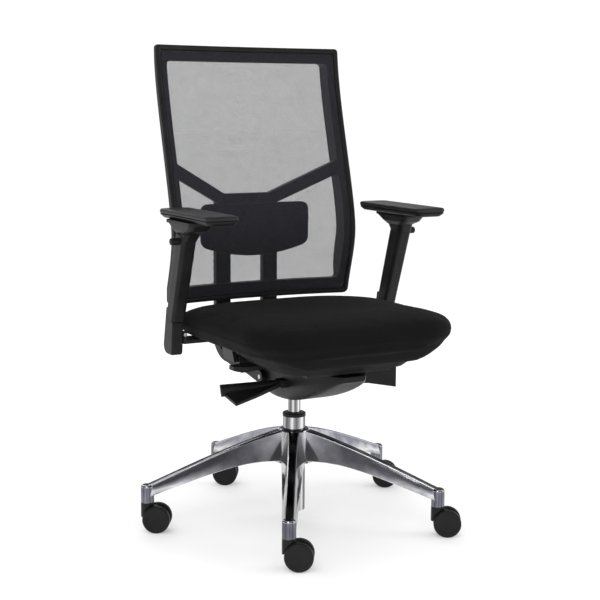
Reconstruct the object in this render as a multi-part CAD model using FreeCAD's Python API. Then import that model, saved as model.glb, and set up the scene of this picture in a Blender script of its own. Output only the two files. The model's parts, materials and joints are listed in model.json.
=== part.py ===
import FreeCAD, Part
import math
import os

# Swivel office chair with a mesh back, height-adjustable arms and a polished five-star base.
# Millimetres.  +Z is up, the sitter faces -Y, and the origin is on the floor on the swivel axis.

V = FreeCAD.Vector
X_AXIS = V(1, 0, 0)
Y_AXIS = V(0, 1, 0)
Z_AXIS = V(0, 0, 1)
ORIGIN = V(0, 0, 0)

# ---- driving dimensions ----
OVERALL_HEIGHT = 1050.0
RUN_GAP = 0.05            # radial clearance of every turning or sliding fit
FACE_GAP = 0.4            # gap between flat faces that move past each other

# five-star base and casters
ARM_COUNT = 5
FIRST_ARM_ANGLE = -120.33
STEM_CIRCLE_R = 331.0
STUB_R = 14.5
STUB_BOTTOM = 65.0
STUB_TOP = 104.0
HUB_TOP = 210.0
HUB_BOTTOM = 136.0
WHEEL_R = 30.0
WHEEL_INNER = 7.7
WHEEL_OUTER = 22.5
CASTER_TRAIL = 21.0
CASTER_HEADING = -32.6
STEM_TOP_R = 5.5
STEM_LOW_R = 4.0
AXLE_R = 3.0

# gas lift
TUBE_R = 25.0
TUBE_WALL = 1.5
TUBE_BOTTOM = 24.0
TUBE_TOP = 237.5
COLLAR_TOP = 245.5
CYLINDER_R = 14.0
CYLINDER_BOTTOM = 70.0
CYLINDER_TOP = 322.0
CYLINDER_BORE_R = 11.5
ROD_R = 5.0
VALVE_PIN_R = 3.0

# tilt mechanism
HOUSING_HALF_WIDTH = 61.0
HOUSING_WALL = 5.0
HOUSING_TOP = 372.0
BACK_PIVOT = V(0, 30, 326)
SEAT_PIVOT = V(0, -150, 362)
PIVOT_PIN_R = 5.0
FORK_INNER = 63.0
FORK_OUTER = 73.0
LEVER_PIVOT = V(-71, -66, 330)
LEVER_PIN_R = 3.0
LUG_GAP = 10.5            # half the space between the height lever's two lugs
LUG_THICKNESS = 5.0

# seat
PLATE_BOTTOM = 374.0
PLATE_TOP = 379.0
PAN_BOTTOM = 383.0
CUSHION_BOTTOM = 424.0
CUSHION_TOP = 489.0
SEAT_HALF_WIDTH = 243.0
SEAT_FRONT = -324.0
SEAT_REAR = 157.0

# back
BACK_HALF_WIDTH = 232.0
WINDOW_HALF_WIDTH = 204.5
BACK_BOTTOM = 478.0
WINDOW_BOTTOM = 516.0
WINDOW_TOP = 1015.0
BACK_PLAN_SAG = 25.0      # how much further back the middle of the frame lies than its sides
RAIL_DEPTH = 38.0         # depth of the frame beside the window
SILL_DEPTH = 18.0         # depth of the frame below the window
RIM_DEPTH = 13.0          # depth of the frame at its outer edge
MESH_SETBACK = 3.0
MESH_THICKNESS = 1.2
BAR_CENTRE_X = 61.0
BAR_WIDTH = 38.0
BAR_FRONT = 232.0
BAR_REAR = 250.0
CARRIER_TOP = 440.0
HUB_PLATE_BOTTOM = 678.0
HUB_PLATE_TOP = 716.0

# arms
ARM_X = 266.0
ARM_RAKE = 18.0           # the posts lean forward by this many degrees
ARM_AXIS_Y = 16.0         # the post's axis passes through this y at ARM_AXIS_Z
ARM_AXIS_Z = 575.0
PAD_CENTRE_X = 249.5
PAD_CENTRE_Y = -36.5
PAD_WIDTH = 73.0
PAD_LENGTH = 250.0
PAD_TOP = 702.0
TURNTABLE_X = 256.0
TURNTABLE_Y = -12.0
TURNTABLE_BOTTOM = 656.0
TURNTABLE_TOP = 682.5
BUTTON_Y = -12.0
BUTTON_Z = 640.0
BUTTON_R = 7.5


# ---- small helpers ----
def block(x0, y0, z0, x1, y1, z1):
    return Part.makeBox(x1 - x0, y1 - y0, z1 - z0, V(x0, y0, z0))


def cylinder(radius, start, end):
    along = end.sub(start)
    return Part.makeCylinder(radius, along.Length, start, along)


def upright(radius, z0, z1, x=0.0, y=0.0):
    return cylinder(radius, V(x, y, z0), V(x, y, z1))


def cross_rod(radius, x0, x1, y, z):
    return cylinder(radius, V(x0, y, z), V(x1, y, z))


def polygon(points):
    return Part.makePolygon(list(points) + [points[0]])


def prism(points, along):
    return Part.Face(polygon(points)).extrude(along)


def rounded_rectangle(width, depth, radius, z, x=0.0, y=0.0, rear_radius=None):
    """Closed wire in a level plane, centred on x, y; the two rear corners may have their own radius."""
    edges = []
    last = None
    for sx, sy in ((1, -1), (1, 1), (-1, 1), (-1, -1)):
        own_radius = rear_radius if rear_radius and sy > 0 else radius
        diagonal = own_radius * math.sqrt(0.5)
        corner = V(x + sx * (width / 2 - own_radius), y + sy * (depth / 2 - own_radius), z)
        along_x = corner.add(V(0, sy * own_radius, 0))
        along_y = corner.add(V(sx * own_radius, 0, 0))
        middle = corner.add(V(sx * diagonal, sy * diagonal, 0))
        first, second = (along_x, along_y) if sx * sy < 0 else (along_y, along_x)
        if last is not None:
            edges.append(Part.makeLine(last, first))
        else:
            start = first
        edges.append(Part.Arc(first, middle, second).toShape())
        last = second
    edges.append(Part.makeLine(last, start))
    return Part.Wire(edges)


def loft(wires, ruled=False):
    return Part.makeLoft(wires, True, ruled)


def rounded_bar(width, depth, radius, z0, z1, x=0.0, y=0.0):
    return Part.Face(rounded_rectangle(width, depth, radius, z0, x, y)).extrude(V(0, 0, z1 - z0))


def fillet_edges(shape, radius, chosen):
    return shape.makeFillet(radius, [e for e in shape.Edges if chosen(e)])


def union(first, *others):
    return first.fuse(list(others)).removeSplitter()


def mirrored(shape):
    return shape.mirror(ORIGIN, X_AXIS)


def export(name, shape):
    shape.exportStep("parts/" + name + ".step")


# ---- five-star base ----
def arm_section(x, top, bottom, ridge, foot):
    """Section across a base arm: narrow flat ridge, hollow-ground flanks, wide foot."""
    shoulder = 4.0
    crest = ridge / 2
    half = foot / 2
    waist_z = (top + bottom) / 2 + 4
    waist = crest + 0.36 * (half - crest)
    soft = shoulder * (1 - math.sqrt(0.5))

    def at(y, z):
        return V(x, y, z)
    right = Part.Arc(at(half, bottom), at(waist, waist_z), at(crest, top - shoulder))
    right_edge = Part.Arc(at(crest, top - shoulder), at(crest - soft, top - soft), at(crest - shoulder, top))
    left_edge = Part.Arc(at(shoulder - crest, top), at(soft - crest, top - soft), at(-crest, top - shoulder))
    left = Part.Arc(at(-crest, top - shoulder), at(-waist, waist_z), at(-half, bottom))
    ridge_line = Part.makeLine(at(crest - shoulder, top), at(shoulder - crest, top))
    foot_line = Part.makeLine(at(-half, bottom), at(half, bottom))
    return Part.Wire([right.toShape(), right_edge.toShape(), ridge_line,
                      left_edge.toShape(), left.toShape(), foot_line])


def base_arm():
    stations = ((24, 209, 141, 30, 60), (70, 198, 143, 24, 52), (130, 179.5, 137, 21, 45),
                (200, 154.5, 120, 20, 39), (270, 127.5, 99, 20, 34), (331, 103.5, 78, 20, 28))
    arm = loft([arm_section(*station) for station in stations])
    hollow = [arm_section(x, top - 7, bottom - 4, ridge - 8, foot - 11)
              for x, top, bottom, ridge, foot in stations[:-1]]
    stub = upright(STUB_R, STUB_BOTTOM, STUB_TOP, STEM_CIRCLE_R)
    stub = fillet_edges(stub, 5, lambda e: abs(e.BoundBox.ZMin - STUB_TOP) < 0.01 and e.Length > 50)
    return arm.cut(loft(hollow)).fuse(stub)


def base_star():
    """Hub and five arms, each its own solid so that the space between two arms stays open."""
    hub = Part.makeCone(45, 35, HUB_TOP - HUB_BOTTOM, V(0, 0, HUB_BOTTOM))
    hub = fillet_edges(hub, 6, lambda e: abs(e.BoundBox.ZMin - HUB_TOP) < 0.01 and e.Length > 150)
    core = upright(36, HUB_BOTTOM - 20, HUB_TOP + 20)
    bore = upright(TUBE_R, 0, HUB_TOP + 20)
    pieces = [hub.cut(bore)]
    for k in range(ARM_COUNT):
        arm = base_arm()
        arm.rotate(ORIGIN, Z_AXIS, FIRST_ARM_ANGLE + 72 * k)
        x, y = stem_place(k)
        pieces.append(arm.cut([hub, core, upright(STEM_TOP_R, STUB_BOTTOM - 1, 97, x, y)]))
    return Part.makeCompound(pieces)


def stem_place(k):
    angle = math.radians(FIRST_ARM_ANGLE + 72 * k)
    return STEM_CIRCLE_R * math.cos(angle), STEM_CIRCLE_R * math.sin(angle)


# ---- casters, built at the origin with the trail along +X ----
def caster_stem():
    return union(upright(STEM_TOP_R, STUB_BOTTOM, 97), upright(STEM_LOW_R, 42, STUB_BOTTOM))


def caster_hood():
    barrel = upright(STUB_R, 33, STUB_BOTTOM - FACE_GAP)
    half_web = WHEEL_INNER - 0.7
    web = cylinder(26, V(CASTER_TRAIL, -half_web, WHEEL_R), V(CASTER_TRAIL, half_web, WHEEL_R))
    neck = block(0, -half_web, 33, CASTER_TRAIL, half_web, 58)
    hood = barrel.fuse([web, neck])
    for side in (-1, 1):
        clear = cylinder(WHEEL_R + 1.5, V(CASTER_TRAIL, side * half_web, WHEEL_R),
                         V(CASTER_TRAIL, side * 30, WHEEL_R))
        hood = hood.cut(clear)
    hood = hood.cut(upright(STEM_LOW_R + RUN_GAP, 40, STUB_BOTTOM))
    axle_hole = cylinder(AXLE_R, V(CASTER_TRAIL, -12, WHEEL_R), V(CASTER_TRAIL, 12, WHEEL_R))
    return hood.cut(axle_hole).removeSplitter()


def caster_axle():
    reach = WHEEL_OUTER - 4
    return cylinder(AXLE_R, V(CASTER_TRAIL, -reach, WHEEL_R), V(CASTER_TRAIL, reach, WHEEL_R))


def caster_wheel(side):
    """Nylon wheel with a rounded tread, a shallow dished face and a blind bore for the axle."""
    inner = WHEEL_INNER
    outer = WHEEL_OUTER

    def at(r, along):
        return V(CASTER_TRAIL + r, side * along, WHEEL_R)
    bend = 4.5
    soft = bend * (1 - math.sqrt(0.5))
    bore = AXLE_R + RUN_GAP
    blind = outer - 3.5
    edges = [Part.makeLine(at(0, outer - 1.2), at(20, outer - 1.2)),
             Part.Arc(at(20, outer - 1.2), at(22, outer - 0.3), at(24, outer)).toShape(),
             Part.makeLine(at(24, outer), at(WHEEL_R - bend, outer)),
             Part.Arc(at(WHEEL_R - bend, outer), at(WHEEL_R - soft, outer - soft),
                      at(WHEEL_R, outer - bend)).toShape(),
             Part.makeLine(at(WHEEL_R, outer - bend), at(WHEEL_R, inner + 2)),
             Part.makeLine(at(WHEEL_R, inner + 2), at(WHEEL_R - 2, inner)),
             Part.makeLine(at(WHEEL_R - 2, inner), at(bore, inner)),
             Part.makeLine(at(bore, inner), at(bore, blind)),
             Part.makeLine(at(bore, blind), at(0, blind)),
             Part.makeLine(at(0, blind), at(0, outer - 1.2))]
    return Part.Face(Part.Wire(edges)).revolve(V(CASTER_TRAIL, 0, WHEEL_R), Y_AXIS, 360)


def place_caster(shape, k):
    x, y = stem_place(k)
    moved = shape.copy()
    moved.rotate(ORIGIN, Z_AXIS, CASTER_HEADING)
    moved.translate(V(x, y, 0))
    return moved


def export_casters():
    stems = [place_caster(caster_stem(), k) for k in range(ARM_COUNT)]
    export("caster_stems", Part.makeCompound(stems))
    for k in range(ARM_COUNT):
        number = str(k + 1)
        export("caster_hood_" + number, place_caster(caster_hood(), k))
        export("caster_axle_" + number, place_caster(caster_axle(), k))
        export("caster_wheel_left_" + number, place_caster(caster_wheel(1), k))
        export("caster_wheel_right_" + number, place_caster(caster_wheel(-1), k))


# ---- gas lift ----
def lift_outer_tube():
    tube = upright(TUBE_R, TUBE_BOTTOM, TUBE_TOP)
    tube = tube.cut(upright(TUBE_R - TUBE_WALL, TUBE_BOTTOM + 4, TUBE_TOP + 1))
    return tube.cut(upright(ROD_R + RUN_GAP, TUBE_BOTTOM - 1, TUBE_BOTTOM + 5))


def lift_guide_bush():
    bush = upright(TUBE_R - TUBE_WALL, 150, TUBE_TOP)
    collar = upright(TUBE_R + 0.8, TUBE_TOP, COLLAR_TOP)
    collar = fillet_edges(collar, 2.5, lambda e: abs(e.BoundBox.ZMin - COLLAR_TOP) < 0.01 and e.Length > 100)
    return union(bush, collar).cut(upright(CYLINDER_R + RUN_GAP, 140, COLLAR_TOP + 1))


def lift_rod():
    rod = upright(ROD_R, 18, 192)
    piston = upright(CYLINDER_BORE_R - RUN_GAP, 180, 192)
    foot = upright(9, TUBE_BOTTOM + 6.3, TUBE_BOTTOM + 10)
    return union(rod, piston, foot)


def lift_thrust_bearing():
    return upright(17, TUBE_BOTTOM + 4.3, TUBE_BOTTOM + 6.3).cut(upright(ROD_R, 0, 60))


def lift_retaining_clip():
    return upright(9, TUBE_BOTTOM - 3.3, TUBE_BOTTOM - 0.3).cut(upright(ROD_R, 0, 60))


def gas_cylinder():
    body = upright(CYLINDER_R, CYLINDER_BOTTOM, CYLINDER_TOP)
    body = body.cut(upright(CYLINDER_BORE_R, CYLINDER_BOTTOM + 8, CYLINDER_TOP - 14))
    body = body.cut(upright(ROD_R + RUN_GAP, CYLINDER_BOTTOM - 1, CYLINDER_BOTTOM + 9))
    return body.cut(upright(VALVE_PIN_R + RUN_GAP, CYLINDER_TOP - 15, CYLINDER_TOP + 1))


def valve_pin():
    return upright(VALVE_PIN_R, CYLINDER_TOP - 13, CYLINDER_TOP + 8)


# ---- tilt mechanism ----
def hull_section(y, half_width, bottom, top, bilge):
    """U-shaped section of the boat-like housing in the plane of constant y."""
    soft = bilge * (1 - math.sqrt(0.5))

    def at(x, z):
        return V(x, y, z)
    return Part.Wire([
        Part.makeLine(at(-half_width, top), at(-half_width, bottom + bilge)),
        Part.Arc(at(-half_width, bottom + bilge), at(soft - half_width, bottom + soft),
                 at(bilge - half_width, bottom)).toShape(),
        Part.makeLine(at(bilge - half_width, bottom), at(half_width - bilge, bottom)),
        Part.Arc(at(half_width - bilge, bottom), at(half_width - soft, bottom + soft),
                 at(half_width, bottom + bilge)).toShape(),
        Part.makeLine(at(half_width, bottom + bilge), at(half_width, top)),
        Part.makeLine(at(half_width, top), at(-half_width, top))])


def housing_hull(inset):
    """Outer form of the housing, or with an inset the hollow inside it."""
    stations = ((66, 303, 26, 61), (40, 287, 30, 61), (0, 281, 34, 61), (-60, 287, 34, 61),
                (-120, 303, 30, 61), (-180, 325, 24, 57), (-222, 345, 14, 46), (-255, 361, 6, 26))
    wires = []
    for y, bottom, bilge, half_width in stations:
        wires.append(hull_section(y * (1 - inset / 90), half_width - inset, bottom + inset,
                                  HOUSING_TOP + inset, bilge * (1 - inset / 20)))
    return loft(wires)


def mechanism_housing():
    shell = housing_hull(0).cut(housing_hull(HOUSING_WALL))
    hub = upright(22, 284, CYLINDER_TOP - 4)
    seat_relief = prism([V(-90, 80, 341.5), V(-90, -155, 371.3), V(-90, -155, 380), V(-90, 80, 380)],
                        V(180, 0, 0))
    housing = shell.fuse(hub).cut(seat_relief)
    for y in (LEVER_PIVOT.y - LUG_GAP - LUG_THICKNESS, LEVER_PIVOT.y + LUG_GAP):
        lug = block(LEVER_PIVOT.x - 6, y, LEVER_PIVOT.z - 8,
                    LEVER_PIVOT.x + 17, y + LUG_THICKNESS, LEVER_PIVOT.z + 8)
        housing = housing.fuse(lug)
    housing = housing.fuse(lever_shaft(LEVER_PIN_R, LUG_GAP + LUG_THICKNESS))
    housing = housing.cut(upright(CYLINDER_R, 260, CYLINDER_TOP - 3))
    housing = housing.cut(cross_rod(PIVOT_PIN_R, -90, 90, BACK_PIVOT.y, BACK_PIVOT.z))
    housing = housing.cut(cross_rod(PIVOT_PIN_R, -90, 90, SEAT_PIVOT.y, SEAT_PIVOT.z))
    lock_shaft_hole = cross_rod(5 + RUN_GAP, 40, 90, -100, 332)
    return housing.cut(lock_shaft_hole).removeSplitter()


def lever_shaft(radius, reach):
    """Rod along Y through the height lever's pivot."""
    return cylinder(radius, LEVER_PIVOT.sub(V(0, reach, 0)), LEVER_PIVOT.add(V(0, reach, 0)))


def back_pivot_pin():
    return cross_rod(PIVOT_PIN_R, -FORK_OUTER, FORK_OUTER, BACK_PIVOT.y, BACK_PIVOT.z)


def seat_pivot_pin():
    return cross_rod(PIVOT_PIN_R, -HOUSING_HALF_WIDTH, HOUSING_HALF_WIDTH, SEAT_PIVOT.y, SEAT_PIVOT.z)


def tilt_spring():
    """Close-wound spring along the housing, drawn as separate rings of wire."""
    rings = []
    for k in range(9):
        rings.append(Part.makeTorus(15, 3, V(0, -48 - 8 * k, 331), Y_AXIS))
    return Part.makeCompound(rings)


def height_lever():
    """Wide paddle with a rolled rear edge on the sitter's right."""
    def section(x, front, rear, z_front, z_rear, thick):
        return polygon([V(x, front, z_front), V(x, rear, z_rear),
                        V(x, rear, z_rear + thick), V(x, front, z_front + thick)])
    blade = loft([section(-74, -74, -58, 324, 325, 9), section(-132, -81, -40, 308, 316, 7),
                  section(-188, -89, -22, 296, 308, 6)], True)
    rolled = Part.makeCone(7, 13.5, 130, V(-71, -67, 331), V(-121.8, 44.9, -14.7))
    lever = union(blade, rolled, lever_shaft(8.5, LUG_GAP - FACE_GAP))
    return lever.cut(lever_shaft(LEVER_PIN_R + RUN_GAP, LUG_GAP))


def tilt_lock_lever():
    """Upright fan-shaped blade on a cross shaft at the sitter's left."""
    shaft = cross_rod(5, 52, 82, -100, 332)

    def section(x, y, low, high, thick):
        return polygon([V(x, y - thick, low), V(x, y + thick, low),
                        V(x, y + thick, high), V(x, y - thick, high)])
    blade = loft([section(64, -100, 325, 339, 6), section(120, -112, 321, 344, 5),
                  section(186, -122, 308, 353, 4)], True)
    return union(shaft, blade)


# ---- seat ----
def seat_layer(half_width, front, rear, radius, z, rear_radius=None, fall=0.0):
    """Level outline of the seat at one height; fall tips it down towards the rear by some degrees."""
    wire = rounded_rectangle(2 * half_width, rear - front, radius, z, 0, (front + rear) / 2, rear_radius)
    wire.rotate(V(0, front, z), X_AXIS, -fall)
    return wire


def seat_cushion():
    """Plain form of the upholstered seat: tucked under, crowned on top, its front lip reaching lower."""
    layers = ((212, -292, 134, 75, CUSHION_BOTTOM, 80, 0), (235, -314, 149, 95, 438, 100, 0),
              (SEAT_HALF_WIDTH, SEAT_FRONT, SEAT_REAR, 105, 454, 115, 0),
              (241, -319, 154, 103, 469, 130, 0.3),
              (231, -306, 138, 97, 482, 145, 0.8), (205, -264, 48, 80, CUSHION_TOP, 105, 0))
    lip_layers = ((140, -290, -228, 30, 402), (183, -304, -215, 44, 414), (220, -314, -200, 50, 438))
    body = loft([seat_layer(*layer) for layer in layers], True)
    lip = loft([seat_layer(*layer) for layer in lip_layers], True)
    return body.fuse(lip).cut(seat_pan())


def seat_pan():
    """Moulded tub under the front of the cushion."""
    layers = ((144, -252, -22, 50, PAN_BOTTOM), (160, -266, -4, 56, 397), (180, -282, 12, 62, CUSHION_BOTTOM))
    return loft([seat_layer(*layer) for layer in layers], True)


def seat_plate():
    """Steel carrier plate with side wings, guide straps for the arm brackets and front lugs."""
    plate = block(-100, -235, PLATE_BOTTOM, 100, 112, PLATE_TOP)
    wings = block(-124, 24, PLATE_BOTTOM, 124, 86, PLATE_TOP)
    plate = plate.fuse(wings)
    for side in (-1, 1):
        lug = block(-3, SEAT_PIVOT.y - 10, SEAT_PIVOT.z - 10, 3, SEAT_PIVOT.y + 10, PLATE_BOTTOM)
        lug.translate(V(side * 46, 0, 0))
        plate = plate.fuse(lug)
        strap = block(-20, 24, 360.5, 24, 86, 363.5)
        strap.translate(V(side * 104, 0, 0))
        front_wall = block(-20, 24, 360.5, 24, 28.5, PLATE_BOTTOM)
        front_wall.translate(V(side * 104, 0, 0))
        rear_wall = block(-20, 81.5, 360.5, 24, 86, PLATE_BOTTOM)
        rear_wall.translate(V(side * 104, 0, 0))
        plate = plate.fuse([strap, front_wall, rear_wall])
    plate = plate.cut(cross_rod(PIVOT_PIN_R + RUN_GAP, -56, 56, SEAT_PIVOT.y, SEAT_PIVOT.z))
    for y in (-58, -6):
        knuckle = cylinder(5.5, V(-93, y - 3, 368), V(-93, y + 3, 368))
        knuckle = knuckle.fuse(block(-98.5, y - 3, 368, -87.5, y + 3, PLATE_BOTTOM))
        plate = plate.fuse(knuckle)
    plate = plate.fuse(cylinder(2.5, V(-93, -60, 368), V(-93, -4, 368)))
    return plate.removeSplitter()


def seat_depth_lever():
    """Short paddle under the seat's right edge, hinged along the plate's side."""
    blade = prism([V(-93, -53, 363), V(-93, -53, 371), V(-166, -53, 368), V(-166, -53, 359),
                   V(-158, -53, 357)],
                  V(0, 42, 0))
    corner = prism([V(-140, -54, 350), V(-170, -54, 350), V(-170, -30, 350)], V(0, 0, 30))
    barrel = cylinder(5.5, V(-93, -53.5, 368), V(-93, -10.5, 368))
    lever = union(blade.cut(corner), barrel)
    return lever.cut(cylinder(2.5 + RUN_GAP, V(-93, -70, 368), V(-93, 0, 368)))


# ---- back ----
def back_front_points(shift):
    """Side profile of the frame's front face: raked bottom, lumbar bulge, leaning top."""
    stations = ((478, 161), (567, 139), (628, 128.5), (681, 135), (764, 156),
                (875, 187), (959, 208), (1050, 222))
    return [V(0, y + shift, z) for z, y in stations]


def plan_sag(x):
    return BACK_PLAN_SAG * (1 - (x / BACK_HALF_WIDTH) ** 2)


def spline(points):
    curve = Part.BSplineCurve()
    curve.interpolate(points)
    return curve.toShape()


def frame_section(x, depth, edge_depth):
    """Closed side profile of the frame at one x, thinner at its top and bottom edges."""
    front = back_front_points(plan_sag(x))
    rear = back_front_points(plan_sag(x) + depth)
    rear[0] = V(0, rear[0].y - 5 - depth + min(depth, SILL_DEPTH), WINDOW_BOTTOM)
    rear[-1] = V(0, rear[-1].y - 5, WINDOW_TOP)
    low = front[0].add(V(0, edge_depth, 0))
    high = front[-1].add(V(0, edge_depth, 0))
    wire = Part.Wire([spline(front), Part.makeLine(front[-1], high), Part.makeLine(high, rear[-1]),
                      spline(rear[::-1]), Part.makeLine(rear[0], low), Part.makeLine(low, front[0])])
    wire.translate(V(x, 0, 0))
    return wire


def window_prism(half_width, bottom, top, low_radius, high_radius):
    shape = block(-half_width, -100, bottom, half_width, 500, top)
    shape = fillet_edges(shape, high_radius, lambda e: e.BoundBox.ZMin > top - 0.1 and e.BoundBox.YLength > 500)
    return fillet_edges(shape, low_radius, lambda e: e.BoundBox.ZMax < bottom + 0.1 and e.BoundBox.YLength > 500)


def back_frame():
    middle = loft([frame_section(x, RAIL_DEPTH, RIM_DEPTH)
                   for x in (-WINDOW_HALF_WIDTH, 0, WINDOW_HALF_WIDTH)])
    frame = middle
    for side in (-1, 1):
        rail = loft([frame_section(side * WINDOW_HALF_WIDTH, RAIL_DEPTH, RIM_DEPTH),
                     frame_section(side * BACK_HALF_WIDTH, RIM_DEPTH, RIM_DEPTH - 4)], True)
        frame = frame.fuse(rail)
    frame = frame.common(window_prism(BACK_HALF_WIDTH, BACK_BOTTOM, OVERALL_HEIGHT, 12, 8))
    return frame.cut(window_prism(WINDOW_HALF_WIDTH, WINDOW_BOTTOM, WINDOW_TOP, 9, 9))


def mesh_section(x):
    front = back_front_points(plan_sag(x) + MESH_SETBACK)
    rear = back_front_points(plan_sag(x) + MESH_SETBACK + MESH_THICKNESS)
    wire = Part.Wire([spline(front), Part.makeLine(front[-1], rear[-1]), spline(rear[::-1]),
                      Part.makeLine(rear[0], front[0])])
    wire.translate(V(x, 0, 0))
    return wire


def back_mesh():
    sheet = loft([mesh_section(x) for x in (-WINDOW_HALF_WIDTH, 0, WINDOW_HALF_WIDTH)])
    return sheet.common(window_prism(WINDOW_HALF_WIDTH, WINDOW_BOTTOM, WINDOW_TOP, 9, 9))


def back_carrier():
    """J-shaped carrier: a fork on the tilt pivot that turns up behind the seat."""
    half = BAR_CENTRE_X + BAR_WIDTH / 2 + 4
    bend_outer = Part.Arc(V(0, 170, 336), V(0, 227.7, 358.2), V(0, BAR_REAR, 412))
    bend_inner = Part.Arc(V(0, BAR_FRONT, 412), V(0, 215.9, 373.0), V(0, 166, 358))
    path = [Part.makeLine(V(0, 30, 312), V(0, 170, 336)), bend_outer.toShape(),
            Part.makeLine(V(0, BAR_REAR, 412), V(0, BAR_REAR, CARRIER_TOP)),
            Part.makeLine(V(0, BAR_REAR, CARRIER_TOP), V(0, BAR_FRONT, CARRIER_TOP)),
            Part.makeLine(V(0, BAR_FRONT, CARRIER_TOP), V(0, BAR_FRONT, 412)), bend_inner.toShape(),
            Part.makeLine(V(0, 166, 358), V(0, 30, 340)),
            Part.Arc(V(0, 30, 340), V(0, 16, 326), V(0, 30, 312)).toShape()]
    band = Part.Face(Part.Wire(path)).extrude(V(2 * half, 0, 0))
    band.translate(V(-half, 0, 0))
    slot = block(-FORK_INNER, -10, 290, FORK_INNER, 96, 380)
    sides = block(FORK_OUTER, -10, 290, half + 5, 96, 380)
    band = band.cut([slot, sides, mirrored(sides)])
    return band.cut(cross_rod(PIVOT_PIN_R + RUN_GAP, -90, 90, BACK_PIVOT.y, BACK_PIVOT.z))


def support_arm():
    """Upper arm of the back support, sweeping out and forward to the side rail."""
    def section(x, low, high, front, rear):
        return polygon([V(x, front, low), V(x, rear, low), V(x, rear, high), V(x, front, high)])
    return loft([section(30, 684, HUB_PLATE_TOP - 1, BAR_FRONT + 2, BAR_REAR - 2),
                 section(56, 684, HUB_PLATE_TOP - 1, BAR_FRONT + 2, BAR_REAR - 2),
                 section(WINDOW_HALF_WIDTH - 0.6, 758, 791, 176, 190)], True)


def back_support():
    bars = []
    for side in (-1, 1):
        centre = side * BAR_CENTRE_X
        bar = block(centre - BAR_WIDTH / 2, BAR_FRONT, CARRIER_TOP, centre + BAR_WIDTH / 2, BAR_REAR, 700)
        bars.append(fillet_edges(bar, 3, lambda e: e.BoundBox.ZLength > 200))
    half = BAR_CENTRE_X + BAR_WIDTH / 2
    foot = block(-half, BAR_REAR, 413, half, BAR_REAR + 6, 452)
    hub = block(-58, BAR_FRONT, HUB_PLATE_BOTTOM, 58, BAR_REAR, HUB_PLATE_TOP)
    arm = support_arm()
    support = hub.fuse(bars + [foot])
    support = support.fuse(arm).fuse(mirrored(arm))
    for x, z in screw_places():
        support = support.cut(cylinder(3, V(x, BAR_REAR - 1, z), V(x, BAR_REAR + 10, z)))
    return support


def screw_places():
    return [(side * BAR_CENTRE_X, z) for side in (-1, 1) for z in (420, 433.5)]


def back_support_screws():
    screws = []
    for x, z in screw_places():
        shank = cylinder(3, V(x, BAR_REAR, z), V(x, BAR_REAR + 6, z))
        head = cylinder(6, V(x, BAR_REAR + 6, z), V(x, BAR_REAR + 9.5, z))
        socket = cylinder(2.6, V(x, BAR_REAR + 7, z), V(x, BAR_REAR + 12, z))
        screws.append(shank.fuse(head).cut(socket))
    return Part.makeCompound(screws)


def lumbar_slider():
    plate = block(-70, 206, 596, 70, BAR_FRONT - FACE_GAP, 648)
    gap = BAR_CENTRE_X - BAR_WIDTH / 2 - FACE_GAP
    neck = block(-gap, 220, 596, gap, BAR_REAR + 2, 648)
    keeper = block(-70, BAR_REAR + FACE_GAP, 600, 70, BAR_REAR + 6, 644)
    return union(plate, neck, keeper)


def lumbar_pad():
    """Flat pad with a curved lower edge and rounded corners."""
    front, rear = 180.0, 206.0
    half = 138.0
    low_arc = Part.Arc(V(-half, front, 600), V(0, front, 575), V(half, front, 600))
    outline = Part.Wire([low_arc.toShape(), Part.makeLine(V(half, front, 600), V(half, front, 697)),
                         Part.makeLine(V(half, front, 697), V(-half, front, 697)),
                         Part.makeLine(V(-half, front, 697), V(-half, front, 600))])
    pad = Part.Face(outline).extrude(V(0, rear - front, 0))
    pad = fillet_edges(pad, 22, lambda e: e.BoundBox.YLength > 20 and e.BoundBox.XLength < 0.1)
    return fillet_edges(pad, 6, lambda e: abs(e.BoundBox.YMax - front) < 0.1)


# ---- armrests, built for the sitter's left at +X ----
def raked(shape):
    """Moves a shape drawn upright about the origin onto the leaning post's axis."""
    moved = shape.copy()
    moved.rotate(ORIGIN, X_AXIS, ARM_RAKE)
    moved.translate(V(ARM_X, ARM_AXIS_Y, ARM_AXIS_Z))
    return moved


def arm_bracket():
    """Flat bar from the seat plate's guide, up behind the pan and out to the foot of the post."""
    top = [V(86, 30, 373), V(127, 30, 373), V(134, 30, 407), V(158, 30, 422), V(246, 30, 422),
           V(246, 30, 440), V(253, 30, 440)]
    bottom = [V(253, 30, 414), V(162, 30, 414), V(141, 30, 401), V(134, 30, 364), V(86, 30, 364)]
    return prism(top + bottom, V(0, 50, 0))


def arm_lower_cover():
    """Foot of the armrest with a rounded lower rear corner and a tongue behind the sleeve."""
    x0 = ARM_X - 13
    cover = prism([V(x0, 30, 461), V(x0, 36, 389.5), V(x0, 82, 389.5), V(x0, 82, 411), V(x0, 66, 491),
                   V(x0, 59, 491), V(x0, 64.5, 471)], V(26, 0, 0))

    def crosswise(edge, y_low, y_high):
        box = edge.BoundBox
        return box.XLength > 20 and box.ZMax < 391 and y_low < box.YMin < y_high
    cover = fillet_edges(cover, 19, lambda e: crosswise(e, 60, 90))
    cover = fillet_edges(cover, 8, lambda e: crosswise(e, 30, 60))
    cover = fillet_edges(cover, 4, lambda e: e.BoundBox.XLength < 0.1 and e.BoundBox.ZMin < 460)
    return cover.cut(raked(block(-9.7, -9.2, -160, 9.7, 9.2, 10)))


def arm_post():
    post = rounded_bar(19.4, 18.4, 2, -160, 48)
    hollow = rounded_bar(14.4, 13.4, 1, -161, 49)
    return raked(post.cut(hollow))


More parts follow.
